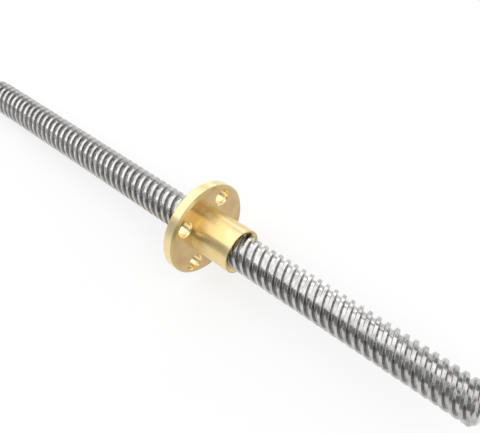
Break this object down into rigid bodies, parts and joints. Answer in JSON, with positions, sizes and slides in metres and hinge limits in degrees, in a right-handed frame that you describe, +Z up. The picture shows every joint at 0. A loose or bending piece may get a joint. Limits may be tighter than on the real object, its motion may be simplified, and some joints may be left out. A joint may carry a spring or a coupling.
{
  "type": "trapezoidal lead screw",
  "caption": "Steel trapezoidal lead screw with a multi-start thread, and a flanged brass nut that travels along it.",
  "frame": {"origin": "on the surface that the part lies on, under the middle of its bounding box", "axes": "+X along the screw towards its raised end, the side that the nut's hub points to; +Y across; +Z up"},
  "size_m": [0.15, 0.0218, 0.0218],
  "materials": {
    "steel": "bright rolled thread, a little mottled and lightly scratched",
    "brass": "fine turned, bright"
  },
  "bodies": {
    "screw": {"lead_screw": "steel"},
    "nut": {"flange_nut": "brass"}
  },
  "joints": [
    {"name": "nut_travel", "type": "slide", "parent": "screw", "child": "nut", "axis": [0.9963, 0, 0.0857], "range_m": [-0.078, 0.054]}
  ]
}
